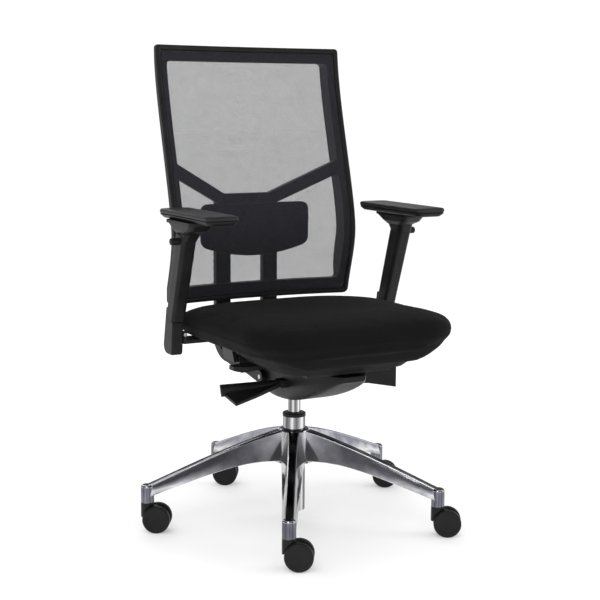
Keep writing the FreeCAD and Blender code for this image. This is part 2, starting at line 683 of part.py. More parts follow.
def arm_sleeve():
    """Raked outer sleeve with a rear rib, widening into a level seat for the arm pad."""
    body = loft([rounded_rectangle(31, 37, 7, -110, 0, -5.5), rounded_rectangle(34, 43, 9, 84, 0, -5)])
    rib = loft([rounded_rectangle(13, 28, 3, -80, 3, 14), rounded_rectangle(15, 26, 3, 66, 3, 16)])
    sleeve = raked(body.fuse(rib))
    neck = loft([rounded_rectangle(33, 43, 9, 640, ARM_X, -14),
                 rounded_rectangle(38, 58, 12, 655.6, ARM_X - 4, -16)])
    sleeve = sleeve.cut(block(200, -200, 655.6, 330, 200, 760)).fuse(neck)
    cavity = raked(block(-10.1, -9.6, -111, 10.1, 9.6, 62))
    pocket = cross_rod(BUTTON_R + 0.2, ARM_X + 6, ARM_X + 60, BUTTON_Y, BUTTON_Z)
    pivot_hole = upright(9 + RUN_GAP, 646, 660, TURNTABLE_X, TURNTABLE_Y)
    return sleeve.cut([cavity, pocket, pivot_hole]).removeSplitter()


def arm_button():
    """Round push button on the outer side of the sleeve."""
    button = cross_rod(BUTTON_R, ARM_X + 9.6, ARM_X + 36, BUTTON_Y, BUTTON_Z)
    return fillet_edges(button, 3.5, lambda e: abs(e.BoundBox.XMin - ARM_X - 36) < 0.1 and e.Length > 30)


def arm_turntable():
    """Stepped funnel under the pad that turns on the sleeve and carries the pad's rail."""
    shelf = 676.0
    funnel = loft([rounded_rectangle(39, 60, 12, TURNTABLE_BOTTOM, TURNTABLE_X + 5, TURNTABLE_Y - 4),
                   rounded_rectangle(50, 92, 14, 664, TURNTABLE_X + 4, TURNTABLE_Y - 10),
                   rounded_rectangle(56, 122, 14, shelf, TURNTABLE_X + 3, TURNTABLE_Y - 8)], True)
    plate = rounded_bar(58, 134, 14, shelf, TURNTABLE_TOP, TURNTABLE_X + 4, TURNTABLE_Y - 8)
    boss = upright(9, 647, TURNTABLE_BOTTOM + 1, TURNTABLE_X, TURNTABLE_Y)
    rail = rounded_bar(28, 110, 4, TURNTABLE_TOP, TURNTABLE_TOP + 8, TURNTABLE_X - 5, TURNTABLE_Y)
    return union(funnel, plate, boss, rail)


def arm_pad():
    """Soft pad with eased edges, grooved underneath for the turntable's rail."""
    base = TURNTABLE_TOP + FACE_GAP
    pad = loft([rounded_rectangle(PAD_WIDTH - 6, PAD_LENGTH - 6, 9, base, PAD_CENTRE_X, PAD_CENTRE_Y),
                rounded_rectangle(PAD_WIDTH, PAD_LENGTH, 11, base + 5, PAD_CENTRE_X, PAD_CENTRE_Y),
                rounded_rectangle(PAD_WIDTH, PAD_LENGTH, 11, PAD_TOP - 3.5, PAD_CENTRE_X, PAD_CENTRE_Y),
                rounded_rectangle(PAD_WIDTH - 6, PAD_LENGTH - 6, 10, PAD_TOP, PAD_CENTRE_X, PAD_CENTRE_Y)], True)
    groove = rounded_bar(28.8, 176, 4.4, base - 1, TURNTABLE_TOP + 8.4, TURNTABLE_X - 5, TURNTABLE_Y)
    return pad.cut(groove)


def export_arms():
    pieces = {"bracket": arm_bracket(), "lower_cover": arm_lower_cover(), "post": arm_post(),
              "sleeve": arm_sleeve(), "button": arm_button(), "turntable": arm_turntable(), "pad": arm_pad()}
    for name, shape in pieces.items():
        export("arm_" + name + "_left", shape)
        export("arm_" + name + "_right", mirrored(shape))


def main():
    os.makedirs("parts", exist_ok=True)
    for build in (base_star, lift_outer_tube, lift_guide_bush, lift_rod, lift_thrust_bearing,
                  lift_retaining_clip, gas_cylinder, valve_pin, mechanism_housing, back_pivot_pin,
                  seat_pivot_pin, tilt_spring, height_lever, tilt_lock_lever, seat_plate,
                  seat_depth_lever, seat_pan, seat_cushion, back_carrier, back_support,
                  back_support_screws, back_frame, back_mesh, lumbar_slider, lumbar_pad):
        export(build.__name__, build())
    export_casters()
    export_arms()


main()
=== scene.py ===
import json
import math

import bmesh
import bpy
import numpy as np
from mathutils import Matrix, Vector, noise
from mathutils.bvhtree import BVHTree


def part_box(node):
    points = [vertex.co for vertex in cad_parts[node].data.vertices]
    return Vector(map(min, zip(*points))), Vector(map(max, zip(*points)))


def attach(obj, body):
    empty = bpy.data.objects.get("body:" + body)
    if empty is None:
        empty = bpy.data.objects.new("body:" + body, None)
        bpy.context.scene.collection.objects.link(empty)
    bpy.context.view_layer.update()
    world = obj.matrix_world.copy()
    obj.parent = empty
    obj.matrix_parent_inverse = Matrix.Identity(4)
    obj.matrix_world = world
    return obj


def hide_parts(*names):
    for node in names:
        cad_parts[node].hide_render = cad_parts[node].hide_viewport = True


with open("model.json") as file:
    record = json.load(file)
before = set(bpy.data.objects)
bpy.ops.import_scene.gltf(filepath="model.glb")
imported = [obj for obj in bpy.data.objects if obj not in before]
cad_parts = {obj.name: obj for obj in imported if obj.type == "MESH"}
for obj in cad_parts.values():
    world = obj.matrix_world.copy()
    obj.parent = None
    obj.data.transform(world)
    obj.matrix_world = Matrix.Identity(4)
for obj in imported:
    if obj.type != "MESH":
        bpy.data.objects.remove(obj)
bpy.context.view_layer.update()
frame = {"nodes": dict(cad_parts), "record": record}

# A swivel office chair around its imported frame.  Metres, +Z up, the sitter faces -Y.

MM = 0.001
NODES = frame["nodes"]
SCENE = bpy.context.scene


# ---------------------------------------------------------------- camera, floor and light
def make_camera():
    azimuth = math.radians(-29.1)
    elevation = math.radians(8.61)
    roll = math.radians(0.43)
    back = Vector((math.sin(azimuth) * math.cos(elevation), -math.cos(azimuth) * math.cos(elevation),
                   math.sin(elevation)))
    level = Vector((math.cos(azimuth), math.sin(azimuth), 0))
    upward = back.cross(level)
    right = level * math.cos(roll) + upward * math.sin(roll)
    top = upward * math.cos(roll) - level * math.sin(roll)
    data = bpy.data.cameras.new("camera")
    data.sensor_width = 36.0
    data.lens = 80.45
    data.clip_end = 50
    camera = bpy.data.objects.new("camera", data)
    SCENE.collection.objects.link(camera)
    place = Matrix((right, top, back)).transposed().to_4x4()
    place.translation = Vector((-1.40655, -2.54998, 0.93767))
    camera.matrix_world = place
    SCENE.camera = camera


def area_light(name, place, target, size, power, colour=(1, 1, 1)):
    data = bpy.data.lights.new(name, "AREA")
    data.shape = "RECTANGLE"
    data.size = size[0]
    data.size_y = size[1]
    data.energy = power
    data.color = colour
    light = bpy.data.objects.new(name, data)
    SCENE.collection.objects.link(light)
    light.location = place
    light.rotation_euler = (Vector(target) - Vector(place)).to_track_quat("-Z", "Y").to_euler()


def make_studio():
    """Pale floor, three softboxes, and a world that only glossy rays see as a graded room."""
    bpy.ops.mesh.primitive_plane_add(size=60, location=(0, 0, 0))
    floor = bpy.context.object
    floor.name = "floor"
    floor.data.materials.append(floor_material())
    area_light("key_softbox", (-2.2, -2.6, 3.0), (0, 0, 0.5), (2.0, 2.0), 40)
    area_light("fill_softbox", (3.0, -1.6, 2.2), (0, 0, 0.5), (1.6, 2.2), 22)
    area_light("rim_softbox", (0.6, 3.2, 2.4), (0, 0, 0.7), (3.0, 1.2), 26)
    world = bpy.data.worlds.new("studio")
    world.use_nodes = True
    SCENE.world = world
    tree = world.node_tree
    tree.nodes.clear()
    out = tree.nodes.new("ShaderNodeOutputWorld")
    mix = tree.nodes.new("ShaderNodeMixShader")
    white = tree.nodes.new("ShaderNodeBackground")
    white.inputs["Color"].default_value = (1, 1, 1, 1)
    white.inputs["Strength"].default_value = 1.05
    room = tree.nodes.new("ShaderNodeBackground")
    ramp = tree.nodes.new("ShaderNodeValToRGB")
    coords = tree.nodes.new("ShaderNodeTexCoord")
    split = tree.nodes.new("ShaderNodeSeparateXYZ")
    path = tree.nodes.new("ShaderNodeLightPath")
    stops = ((0.0, 0.9), (0.06, 0.95), (0.16, 0.5), (0.34, 0.12), (0.7, 0.1), (1.0, 0.5))
    fill_ramp(ramp.color_ramp, [(p, (v, v, v * 1.06, 1)) for p, v in stops])
    link = tree.links.new
    link(coords.outputs["Generated"], split.inputs[0])
    link(split.outputs["Z"], ramp.inputs[0])
    link(ramp.outputs[0], room.inputs["Color"])
    room.inputs["Strength"].default_value = 1.0
    link(path.outputs["Is Glossy Ray"], mix.inputs[0])
    link(white.outputs[0], mix.inputs[1])
    link(room.outputs[0], mix.inputs[2])
    link(mix.outputs[0], out.inputs[0])
    SCENE.view_settings.view_transform = "Standard"


# ---------------------------------------------------------------- material tools
def fill_ramp(ramp, stops):
    while len(ramp.elements) > 1:
        ramp.elements.remove(ramp.elements[-1])
    ramp.elements[0].position = stops[0][0]
    ramp.elements[0].color = stops[0][1]
    for position, colour in stops[1:]:
        ramp.elements.new(position).color = colour


class Shader:
    """A small wrapper that builds one Principled material, node by node."""

    def __init__(self, name, **constants):
        self.material = bpy.data.materials.new(name)
        self.material.use_nodes = True
        self.tree = self.material.node_tree
        self.principled = self.tree.nodes["Principled BSDF"]
        for socket, value in constants.items():
            self.principled.inputs[socket.replace("_", " ")].default_value = value
        self.place = self.node("ShaderNodeTexCoord").outputs["Object"]

    def node(self, kind, **settings):
        made = self.tree.nodes.new(kind)
        for key, value in settings.items():
            setattr(made, key, value)
        return made

    def link(self, source, target):
        self.tree.links.new(source, target)

    def math(self, operation, first, second=None, third=None):
        made = self.node("ShaderNodeMath", operation=operation)
        for socket, value in zip(made.inputs, (first, second, third)):
            if value is None:
                continue
            if isinstance(value, (int, float)):
                socket.default_value = value
            else:
                self.link(value, socket)
        return made.outputs[0]

    def noise(self, scale, detail=3.0, roughness=0.5, stretch=None):
        made = self.node("ShaderNodeTexNoise")
        made.inputs["Scale"].default_value = scale
        made.inputs["Detail"].default_value = detail
        made.inputs["Roughness"].default_value = roughness
        source = self.place
        if stretch:
            mapping = self.node("ShaderNodeMapping")
            mapping.inputs["Scale"].default_value = stretch
            self.link(self.place, mapping.inputs[0])
            source = mapping.outputs[0]
        self.link(source, made.inputs["Vector"])
        return made.outputs["Fac"]

    def spread(self, value, low, high):
        """Maps a 0..1 value to low..high."""
        made = self.node("ShaderNodeMapRange")
        made.inputs["To Min"].default_value = low
        made.inputs["To Max"].default_value = high
        self.link(value, made.inputs["Value"])
        return made.outputs[0]

    def colours(self, value, stops):
        ramp = self.node("ShaderNodeValToRGB")
        fill_ramp(ramp.color_ramp, stops)
        self.link(value, ramp.inputs[0])
        return ramp.outputs[0]

    def bump(self, height, distance, strength=1.0, normal=None):
        made = self.node("ShaderNodeBump")
        made.inputs["Strength"].default_value = strength
        made.inputs["Distance"].default_value = distance
        self.link(height, made.inputs["Height"])
        if normal is not None:
            self.link(normal, made.inputs["Normal"])
        return made.outputs[0]

    def soft_edges(self, radius):
        made = self.node("ShaderNodeBevel", samples=6)
        made.inputs["Radius"].default_value = radius
        return made.outputs[0]

    def use(self, **sources):
        for socket, source in sources.items():
            self.link(source, self.principled.inputs[socket.replace("_", " ")])
        return self.material


def grey(value, tint=0.0):
    return (value, value, value * (1 + tint), 1)


def floor_material():
    s = Shader("floor_white", Roughness=0.8)
    s.principled.inputs["Specular IOR Level"].default_value = 0.0
    s.principled.inputs["Emission Color"].default_value = (1, 1, 1, 1)
    s.principled.inputs["Emission Strength"].default_value = 0.3
    mottling = s.noise(3.0)
    return s.use(Base_Color=s.colours(mottling, [(0.3, grey(0.68)), (0.7, grey(0.70))]))


# Painted reflections in the two bright metals' colour run in light and dark banding across this fixed
# direction, the camera's right-hand side.
PAINTED_REFLECTION_DIRECTION = (0.874, -0.486, 0)


def facing_share(s, direction):
    """How far the surface faces a direction fixed in the room, from 0, away, to 1, towards it."""
    made = s.node("ShaderNodeVectorMath", operation="DOT_PRODUCT")
    made.inputs[1].default_value = direction
    s.link(s.node("ShaderNodeNewGeometry").outputs["Normal"], made.inputs[0])
    return s.math("MULTIPLY_ADD", made.outputs["Value"], 0.5, 0.5)


def polished_aluminium():
    """Hand-polished casting, with painted reflections in the colour: bright crowns and dark blue-grey
    flanks.
    """
    s = Shader("polished_aluminium", Metallic=1.0)
    streaks = s.noise(260, 2, 0.5, (1, 1, 6))
    waves = s.math("MULTIPLY", s.math("SUBTRACT", s.noise(17, 2), 0.5), 0.16)
    # Painted reflections and shade: colour set by how far the surface faces up, multiplied by stripes set
    # by how far it faces the camera's right-hand side.
    level = s.math("ADD", facing_share(s, (0, 0, 1)), waves)
    painted_reflection_bands = [(0.0, grey(0.22, 0.1)), (0.34, grey(0.14, 0.25)), (0.45, grey(0.09, 0.3)),
             (0.53, grey(0.30, 0.2)), (0.60, grey(1.0)), (0.66, grey(0.45, 0.1)), (0.78, grey(0.75, 0.05)),
             (0.86, grey(1.0)), (0.95, grey(0.85)), (0.985, grey(0.22, 0.05)), (1.0, grey(0.14, 0.05))]
    painted_reflection_turn = s.math("ADD", facing_share(s, PAINTED_REFLECTION_DIRECTION), waves)
    painted_reflection_stripes = [(0.0, grey(0.3)), (0.14, grey(0.9)), (0.22, grey(0.4)), (0.36, grey(0.8)), (0.44, grey(1.0)),
               (0.5, grey(0.5)), (0.62, grey(0.9)), (0.72, grey(0.4)), (0.84, grey(1.0)), (1.0, grey(0.3))]
    blend = s.node("ShaderNodeVectorMath", operation="MULTIPLY")
    s.link(s.colours(level, painted_reflection_bands), blend.inputs[0])
    s.link(s.colours(painted_reflection_turn, painted_reflection_stripes), blend.inputs[1])
    normal = s.bump(s.noise(26, 2), 0.0009, 0.35, s.soft_edges(0.0016))
    return s.use(Base_Color=blend.outputs["Vector"], Roughness=s.spread(streaks, 0.06, 0.15), Normal=normal)


def chrome():
    """Bright plating, with painted reflections in the colour: light and dark banding."""
    s = Shader("chrome_painted_reflections", Metallic=1.0)
    shimmer = s.math("MULTIPLY", s.math("SUBTRACT", s.noise(30), 0.5), 0.04)
    # Painted reflections: light and dark colour set by how far the surface faces the camera's right-hand
    # side.
    painted_reflection_turn = s.math("ADD", facing_share(s, PAINTED_REFLECTION_DIRECTION), shimmer)
    painted_reflection_bands = [(0.0, grey(0.04)), (0.08, grey(0.45)), (0.16, grey(0.10)), (0.3, grey(0.20, 0.1)),
             (0.42, grey(0.75)), (0.5, grey(0.30)), (0.62, grey(0.12, 0.1)), (0.74, grey(0.35)),
             (0.86, grey(0.85)), (0.94, grey(0.15)), (1.0, grey(0.03))]
    return s.use(Base_Color=s.colours(painted_reflection_turn, painted_reflection_bands),
                 Roughness=s.spread(s.noise(400, 2, 0.5, (1, 1, 0.05)), 0.08, 0.16))


def brushed_steel():
    s = Shader("brushed_steel", Metallic=1.0)
    grain = s.noise(900, 2, 0.6, (1, 1, 0.08))
    return s.use(Base_Color=s.colours(grain, [(0.3, grey(0.42)), (0.7, grey(0.6))]),
                 Roughness=s.spread(grain, 0.22, 0.4), Normal=s.bump(grain, 0.0001, 0.3))


def painted_steel():
    s = Shader("painted_steel")
    s.principled.inputs["Specular IOR Level"].default_value = 0.25
    peel = s.noise(700, 2)
    return s.use(Base_Color=s.colours(s.noise(60), [(0.3, grey(0.008)), (0.7, grey(0.014))]),
                 Roughness=s.spread(peel, 0.32, 0.46),
                 Normal=s.bump(peel, 0.0002, 0.3, s.soft_edges(0.0008)))


def moulded_plastic(name, low, high, rough_low, rough_high, grain_scale=1500, edge=0.0010):
    """Spark-eroded black plastic: fine grain, softened edges, slightly lighter where handled."""
    s = Shader(name)
    s.principled.inputs["Specular IOR Level"].default_value = 0.18
    grain = s.noise(grain_scale, 2, 0.6)
    patches = s.noise(24, 3)
    return s.use(Base_Color=s.colours(patches, [(0.3, grey(low, 0.06)), (0.7, grey(high, 0.06))]),
                 Roughness=s.spread(s.noise(90, 3), rough_low, rough_high),
                 Normal=s.bump(grain, 0.00025, 0.35, s.soft_edges(edge)))


def weave_height(s, pitch):
    """Plain weave: ridges along both thread directions, chosen by the surface's normal in the room."""
    split = s.node("ShaderNodeSeparateXYZ")
    s.link(s.place, split.inputs[0])
    normal = s.node("ShaderNodeSeparateXYZ")
    s.link(s.node("ShaderNodeNewGeometry").outputs["Normal"], normal.inputs[0])
    waves = [s.math("SINE", s.math("MULTIPLY", axis, math.pi / pitch)) for axis in split.outputs]
    pairs = ((waves[1], waves[2]), (waves[0], waves[2]), (waves[0], waves[1]))
    total = None
    for (first, second), side in zip(pairs, normal.outputs):
        over = s.math("MULTIPLY", first, second)
        share = s.math("POWER", s.math("ABSOLUTE", side), 4.0)
        part = s.math("MULTIPLY", over, share)
        total = part if total is None else s.math("ADD", total, part)
    return s.math("MULTIPLY_ADD", total, 0.5, 0.5)


def woven_fabric(name, dark, light, pitch, sheen):
    s = Shader(name, Roughness=0.92)
    s.principled.inputs["Specular IOR Level"].default_value = 0.12
    s.principled.inputs["Sheen Weight"].default_value = sheen
    s.principled.inputs["Sheen Roughness"].default_value = 0.45
    weave = weave_height(s, pitch)
    fuzz = s.noise(900, 3, 0.7)
    wear = s.noise(14, 3)
    blend = s.math("ADD", s.math("MULTIPLY", weave, 0.55), s.math("MULTIPLY", fuzz, 0.3))
    blend = s.math("ADD", blend, s.math("MULTIPLY", wear, 0.2))
    height = s.math("ADD", weave, s.math("MULTIPLY", fuzz, 0.6))
    return s.use(Base_Color=s.colours(blend, [(0.25, grey(dark, 0.1)), (0.85, grey(light, 0.1))]),
                 Normal=s.bump(height, 0.0005, 0.6))


def open_mesh_fabric():
    """Knitted back mesh: two families of threads with see-through holes between them."""
    pitch = 0.0021
    s = Shader("open_mesh", Roughness=0.8)
    s.principled.inputs["Specular IOR Level"].default_value = 0.2
    s.principled.inputs["Sheen Weight"].default_value = 0.1
    split = s.node("ShaderNodeSeparateXYZ")
    s.link(s.place, split.inputs[0])
    sway = s.math("MULTIPLY", s.math("SUBTRACT", s.noise(120, 2), 0.5), 0.0012)
    across = s.math("ADD", split.outputs["X"], sway)
    along = s.math("ADD", split.outputs["Z"], sway)
    warp = s.math("ABSOLUTE", s.math("SINE", s.math("MULTIPLY", across, math.pi / pitch)))
    weft = s.math("ABSOLUTE", s.math("SINE", s.math("MULTIPLY", along, math.pi / (pitch * 0.8))))
    hole = s.math("MULTIPLY", warp, weft)
    edge = s.math("ADD", 0.345, s.math("MULTIPLY", s.math("SUBTRACT", s.noise(60, 3), 0.5), 0.1))
    solid = s.math("LESS_THAN", hole, edge)
    alpha = s.math("MULTIPLY_ADD", solid, 0.96, 0.02)
    return s.use(Base_Color=s.colours(s.noise(300), [(0.3, grey(0.018, 0.3)), (0.7, grey(0.034, 0.3))]),
                 Alpha=alpha, Normal=s.bump(s.math("SUBTRACT", 1.0, hole), 0.0004, 0.7))


def soft_touch_pad():
    s = Shader("soft_touch_pad")
    s.principled.inputs["Specular IOR Level"].default_value = 0.28
    grain = s.noise(1100, 3, 0.6)
    return s.use(Base_Color=s.colours(s.noise(20), [(0.3, grey(0.011, 0.05)), (0.7, grey(0.017, 0.05))]),
                 Roughness=s.spread(s.noise(60), 0.4, 0.52), Normal=s.bump(grain, 0.0003, 0.4))


def make_materials():
    return {
        "polished_aluminium": polished_aluminium(),
        "chrome": chrome(),
        "steel": brushed_steel(),
        "black_steel": painted_steel(),
        "black_plastic": moulded_plastic("black_plastic", 0.0065, 0.012, 0.34, 0.48),
        "wheel_nylon": moulded_plastic("wheel_nylon", 0.008, 0.013, 0.42, 0.55, 1100, 0.0006),
        "seat_fabric": woven_fabric("seat_fabric", 0.0022, 0.0065, 0.0013, 0.02),
        "mesh_fabric": open_mesh_fabric(),
        "pad_rubber": soft_touch_pad(),
        "pan_shell": moulded_plastic("pan_shell", 0.0022, 0.0045, 0.6, 0.75),
    }


def finish_cad_nodes(materials):
    slot_of = {row["node"]: row["material_slot"] for row in frame["record"]["subparts"]}
    for name, node in NODES.items():
        material = materials["pan_shell" if name == "seat_pan" else slot_of[name]]
        if not node.material_slots:
            node.data.materials.append(material)
        for slot in node.material_slots:
            slot.material = material


# ---------------------------------------------------------------- mesh tools
def new_piece(name, vertices, faces, material, body, smooth=True):
    mesh = bpy.data.meshes.new(name)
    mesh.from_pydata([tuple(v) for v in vertices], [], faces)
    mesh.validate()
    mesh.update()
    piece = bpy.data.objects.new(name, mesh)
    SCENE.collection.objects.link(piece)
    mesh.materials.append(material)
    mesh.polygons.foreach_set("use_smooth", [smooth] * len(mesh.polygons))
    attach(piece, body)
    return piece


def fix_normals(piece):
    made = bmesh.new()
    made.from_mesh(piece.data)
    bmesh.ops.recalc_face_normals(made, faces=made.faces)
    made.to_mesh(piece.data)
    made.free()


def apply_modifier(piece, kind, **settings):
    modifier = piece.modifiers.new(kind.lower(), kind)
    for key, value in settings.items():
        setattr(modifier, key, value)
    with bpy.context.temp_override(object=piece, active_object=piece, selected_objects=[piece]):
        bpy.ops.object.modifier_apply(modifier=modifier.name)


def ring_faces(rings, count, closed_ends=True):
    """Quads between stacked rings of equal length, with fans to end points at both ends."""
    faces = []
    for k in range(rings - 1):
        for i in range(count):
            j = (i + 1) % count
            faces.append((k * count + i, k * count + j, (k + 1) * count + j, (k + 1) * count + i))
    if closed_ends:
        low = rings * count
        high = low + 1
        top = (rings - 1) * count
        for i in range(count):
            j = (i + 1) % count
            faces.append((j, i, low))
            faces.append((top + i, top + j, high))
    return faces


def corner_arc(x, y, radius, first, steps=8):
    """Points of a quarter circle about x, y, from the angle first in degrees."""
    turns = [math.radians(first + 90 * k / steps) for k in range(steps + 1)]
    return [(x + radius * math.cos(t), y + radius * math.sin(t)) for t in turns]


def resample(points, count):
    """The closed polygon's outline as count points spaced evenly from its first point."""
    closed = np.array(list(points) + [points[0]])
    lengths = np.concatenate([[0.0], np.cumsum(np.linalg.norm(np.diff(closed, axis=0), axis=1))])
    stations = np.linspace(0.0, lengths[-1], count, endpoint=False)
    return list(zip(np.interp(stations, lengths, closed[:, 0]), np.interp(stations, lengths, closed[:, 1])))


def rounded_outline(count, half, front, rear, front_radius, rear_radius):
    """Rounded rectangle symmetric about x = 0, counter-clockwise from the middle of its front."""
    points = [(0.0, front)]
    points += corner_arc(half - front_radius, front + front_radius, front_radius, -90)
    points += corner_arc(half - rear_radius, rear - rear_radius, rear_radius, 0)
    points += corner_arc(-half + rear_radius, rear - rear_radius, rear_radius, 90)
    points += corner_arc(-half + front_radius, front + front_radius, front_radius, 180)
    return resample(points, count)


def smoothstep(low, high, value):
    t = min(1.0, max(0.0, (value - low) / (high - low)))
    return t * t * (3 - 2 * t)


# ---------------------------------------------------------------- seat cushion
CUSHION_LOW, CUSHION_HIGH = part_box("seat_cushion")
SEAT_HALF = round(CUSHION_HIGH.x / MM)
SEAT_FRONT = round(CUSHION_LOW.y / MM)
SEAT_REAR = round(CUSHION_HIGH.y / MM)
SEAT_TOP = round(CUSHION_HIGH.z / MM)
SEAM_Z = (SEAT_TOP - 33) * MM
SEAT_CENTRE_Y = (SEAT_FRONT + 244) * MM
CROWN_DIP = 0.005

# Each layer, in mm from the cushion's box: height over its top, how far in from its sides, front and rear,
# the front and rear corner radius, and the fall to the rear in degrees.
SEAT_LAYERS = (
    (-66, 35, 37, 25, 70, 48, 0.0),
    (-61, 21, 26, 15, 80, 54, 0.0),
    (-51, 8, 11, 7, 95, 62, 0.0),
    (-43, 2, 1, 3, 102, 70, 0.0),
    (-35, -1, -3, 1, 106, 80, 0.0),
    (-26, 0, -2, 1, 104, 94, 0.2),
    (-18, 2, 2, 3, 100, 110, 0.3),
    (-11, 6, 9, 10, 96, 126, 0.6),
    (-6, 12, 17, 19, 94, 145, 0.9),
    (-3, 23, 38, 43, 90, 136, 0.8),
    (0, 37, 58, 71, 84, 124, 0.7),
    (2, 57, 84, 103, 76, 108, 0.6),
    (3, 93, 124, 137, 60, 84, 0.4),
)

LIP_DEPTH = 0.024
LIP_SHARES = (1.0, 0.8, 0.3, 0.1)  # of the drop, for the lowest layers
LIP_REACH = (0.205, 0.285)  # ahead of the lift's axis, from none of the drop to all
LIP_SPREAD = (0.12, 0.215)  # to each side of the middle, from all of the drop to none


def lip_drop(x, y):
    """How far the cushion's underside reaches down at the middle of its front edge."""
    return LIP_DEPTH * smoothstep(*LIP_REACH, -y) * (1 - smoothstep(*LIP_SPREAD, abs(x)))


def layer_z(index):
    return (SEAT_TOP + SEAT_LAYERS[index][0]) * MM


def seat_base_mesh(material):
    count = 120
    vertices = []
    for index, (above, side_in, front_in, rear_in, front_r, rear_r, fall) in enumerate(SEAT_LAYERS):
        height = SEAT_TOP + above
        half = SEAT_HALF - side_in
        front = SEAT_FRONT + front_in
        rear = SEAT_REAR - rear_in
        slope = math.tan(math.radians(fall))
        hang = LIP_SHARES[index] if index < len(LIP_SHARES) else 0.0
        for x, y in rounded_outline(count, half, front, rear, front_r, rear_r):
            x, y, z = x * MM, y * MM, (height - (y - front) * slope) * MM
            vertices.append((x, y, z - hang * lip_drop(x, y)))
    vertices.append((0, SEAT_CENTRE_Y, layer_z(0)))
    vertices.append((0, SEAT_CENTRE_Y, layer_z(-1) - CROWN_DIP))
    faces = ring_faces(len(SEAT_LAYERS), count)
    piece = new_piece("seat_upholstery", vertices, faces, material, "seat")
    fix_normals(piece)
    return piece


CLOTH_FRAMES = 20


def inflate(piece, pressure, cap, pinned):
    """Pressurised cloth, so that the cover draws tight over its foam; capped, then applied."""
    rest = np.array([v.co for v in piece.data.vertices])
    group = piece.vertex_groups.new(name="held")
    group.add([v.index for v in piece.data.vertices if pinned(v.co)], 1.0, "REPLACE")
    cloth = piece.modifiers.new("cloth", "CLOTH")
    cloth.settings.use_pressure = True
    cloth.settings.uniform_pressure_force = pressure
    cloth.settings.vertex_group_mass = "held"
    cloth.settings.effector_weights.gravity = 0
    cloth.settings.quality = 5
    cloth.settings.tension_stiffness = 40
    cloth.settings.compression_stiffness = 40
    cloth.settings.bending_stiffness = 2
    cloth.collision_settings.use_collision = False
    cloth.point_cache.frame_start = 1
    cloth.point_cache.frame_end = CLOTH_FRAMES
    for step in range(1, CLOTH_FRAMES + 1):
        SCENE.frame_set(step)
    evaluated = piece.evaluated_get(bpy.context.evaluated_depsgraph_get())
    moved = np.array([v.co for v in evaluated.data.vertices])
    piece.modifiers.remove(cloth)
    piece.vertex_groups.remove(group)
    SCENE.frame_set(1)
    shift = moved - rest
    length = np.linalg.norm(shift, axis=1)
    shift *= np.minimum(1.0, cap / np.maximum(length, 1e-9))[:, None]
    piece.data.vertices.foreach_set("co", (rest + shift).ravel())
    piece.data.update()


def smooth_shade(piece):
    piece.data.polygons.foreach_set("use_smooth", [True] * len(piece.data.polygons))


def press_seam(piece, distance_to_seam, width, depth):
    """Pulls the surface in along a sewn line."""
    normals = [v.normal.copy() for v in piece.data.vertices]
    for vertex, normal in zip(piece.data.vertices, normals):
        away = abs(distance_to_seam(vertex.co))
        if away < 3 * width:
            vertex.co -= normal * depth * math.exp(-((away / width) ** 2))
    piece.data.update()


FOLD_Z = (SEAT_TOP - 52) * MM
FOLD_BAND = 0.014
FOLD_HEIGHT = 0.0016
WAVE_HEIGHT = 0.0008


def ruffle(piece):
    """Shallow folds where the cover is pulled round the front and the sides, fading out upwards."""
    normals = [v.normal.copy() for v in piece.data.vertices]
    for vertex, normal in zip(piece.data.vertices, normals):
        co = vertex.co
        band = math.exp(-(((co.z - FOLD_Z) / FOLD_BAND) ** 2))
        along = noise.noise(Vector((co.x * 26, co.y * 26, co.z * 9)))
        broad = noise.noise(Vector((co.x * 6, co.y * 6, 3.0)))
        vertex.co += normal * (FOLD_HEIGHT * along * band + WAVE_HEIGHT * broad)
    piece.data.update()


def make_seat(materials):
    seat = seat_base_mesh(materials["seat_fabric"])
    apply_modifier(seat, "REMESH", mode="VOXEL", voxel_size=0.0055, use_smooth_shade=True)
    inflate(seat, pressure=4.0, cap=0.0035, pinned=lambda co: co.z < layer_z(1))
    apply_modifier(seat, "SMOOTH", factor=0.5, iterations=4)
    apply_modifier(seat, "SUBSURF", levels=1, render_levels=1)
    press_seam(seat, lambda co: co.z - SEAM_Z, width=0.0020, depth=0.0013)
    ruffle(seat)
    smooth_shade(seat)
    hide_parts("seat_cushion")


# ---------------------------------------------------------------- back
BACK_LOW, BACK_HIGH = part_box("back_frame")
WINDOW_LOW, WINDOW_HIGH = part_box("back_mesh")
MESH_SETBACK = 0.003
MESH_MARGIN = 0.0125  # from the frame's outer edge to the edge of the mesh
MESH_CORNER_R = 0.012
MESH_PROUD = 0.0009
MESH_SAG = 0.0016
SAG_REACH = 0.05  # from the window's edge to where the mesh sags fully
PROFILE_DEGREE = 9


def tree_of(name):
    mesh = NODES[name].data
    return BVHTree.FromPolygons([v.co for v in mesh.vertices], [p.vertices[:] for p in mesh.polygons])


FRAME_TREE = tree_of("back_frame")
MESH_TREE = tree_of("back_mesh")


def first_hit(tree, x, z):
    hit = tree.ray_cast(Vector((x, -1.0, z)), Vector((0, 1, 0)))[0]
    return None if hit is None else hit.y


def make_profiles():
    """Front face of the back at its side and its middle, as smooth functions of height."""
    heights = np.linspace(BACK_LOW.z + 0.03, BACK_HIGH.z - 0.012, 60)
    side_x = (BACK_HIGH.x + WINDOW_HIGH.x) / 2
    side = []
    middle = []
    for z in heights:
        side.append(first_hit(FRAME_TREE, side_x, z))
        in_frame = first_hit(FRAME_TREE, 0.0, z)
        in_mesh = first_hit(MESH_TREE, 0.0, z)
        middle.append(in_frame if in_mesh is None else in_mesh - MESH_SETBACK)
    side_fit = np.polynomial.Polynomial.fit(heights, side, PROFILE_DEGREE)
    middle_fit = np.polynomial.Polynomial.fit(heights, middle, PROFILE_DEGREE)
    return side_x, side_fit, middle_fit


